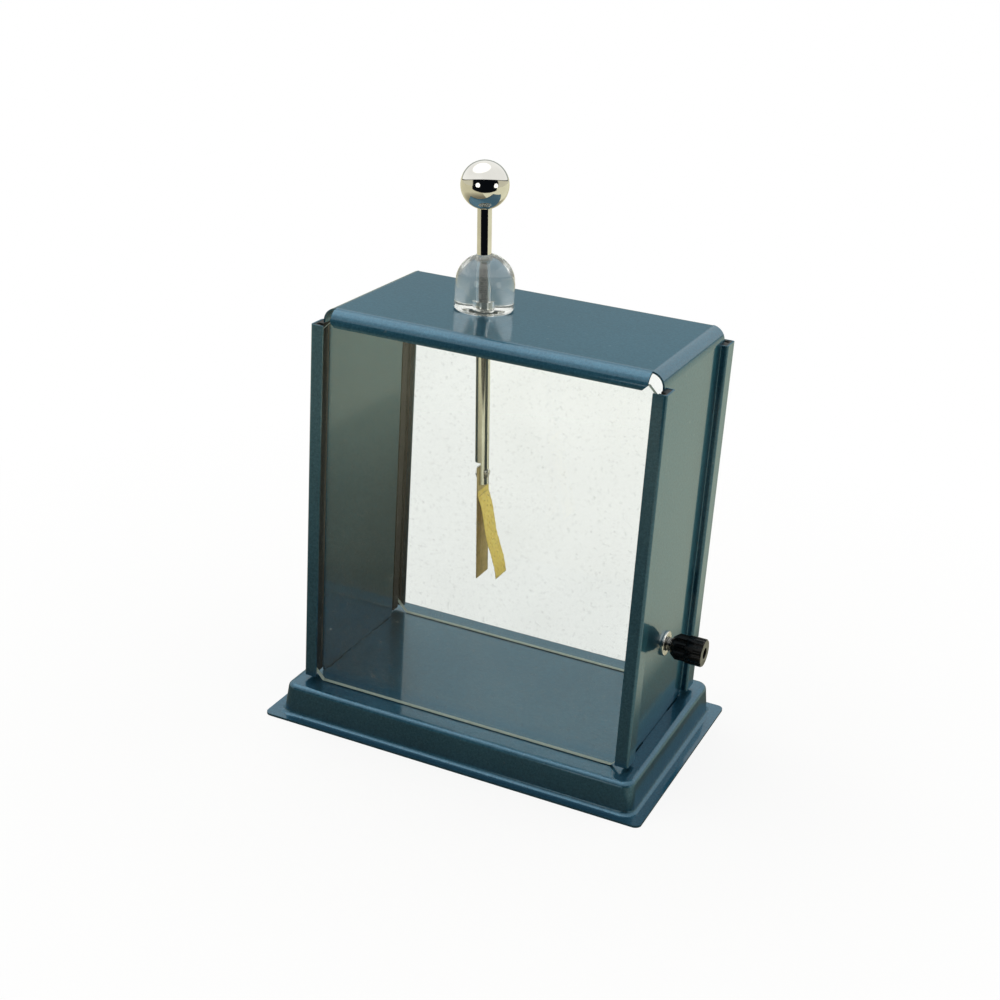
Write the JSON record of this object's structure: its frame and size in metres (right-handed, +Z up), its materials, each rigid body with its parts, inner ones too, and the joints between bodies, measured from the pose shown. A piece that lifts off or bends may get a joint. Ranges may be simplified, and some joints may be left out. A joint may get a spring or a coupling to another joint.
{
  "type": "gold leaf electroscope",
  "caption": "Glazed sheet-metal box on a flanged base, with a ball-topped rod through a clear dome holding a hinged leaf, and a screw terminal on its side.",
  "frame": {"origin": "centre of the base's rectangular flange, on the surface the base stands on", "axes": "+Z up; +Y from the front pane to the rear pane; +X towards the side panel that carries the earth terminal"},
  "size_m": [0.182, 0.113, 0.2485],
  "materials": {
    "blue_paint": "glossy hammer-finish enamel, dark blue",
    "window_glass": "clear, polished",
    "black_rubber": "matt black",
    "clear_acrylic": "clear, turned and polished",
    "chrome_plate": "polished",
    "nickel_plate": "nickel plated",
    "leaf_plate_brass": "dull, browned brass",
    "gold_leaf": "crinkled beaten leaf",
    "black_plastic": "moulded, semi-gloss black",
    "plain_brass": "turned"
  },
  "bodies": {
    "instrument": {"base_tray": "blue_paint", "case_shell": "blue_paint", "front_pane": "window_glass", "rear_pane": "window_glass", "glazing_strip_front_left": "black_rubber", "glazing_strip_front_right": "black_rubber", "glazing_strip_rear_left": "black_rubber", "glazing_strip_rear_right": "black_rubber", "insulator": "clear_acrylic", "insulator_washer": "nickel_plate", "insulator_nut": "nickel_plate", "ball": "chrome_plate", "upper_rod": "chrome_plate", "leaf_rod": "chrome_plate", "leaf_plate": "leaf_plate_brass", "plate_screw": "nickel_plate", "plate_nut": "nickel_plate", "leaf_fold": "gold_leaf", "terminal_stem": "nickel_plate", "terminal_washer": "nickel_plate", "terminal_lock_washer": "nickel_plate", "terminal_nut": "nickel_plate"},
    "leaf": {"gold_leaf": "gold_leaf"},
    "cap_insert": {"terminal_insert": "plain_brass"},
    "cap": {"terminal_cap": "black_plastic"}
  },
  "joints": [
    {"name": "leaf_swing", "type": "hinge", "parent": "instrument", "child": "leaf", "pos_m": [-0.01438, 0, 0.10461], "axis": [0, -1, 0], "range_deg": [-9, 45]},
    {"name": "cap_travel", "type": "slide", "parent": "instrument", "child": "cap_insert", "axis": [1, 0, 0], "range_m": [-0.0022, 0.004]},
    {"name": "cap_turn", "type": "hinge", "parent": "cap_insert", "child": "cap", "pos_m": [0.085, 0, 0.056], "axis": [1, 0, 0], "range_deg": [-796, 1444]}
  ],
  "couplings": [
    {"joint": "cap_turn", "follows": "cap_travel", "rad_per_m": 6283.2}
  ]
}
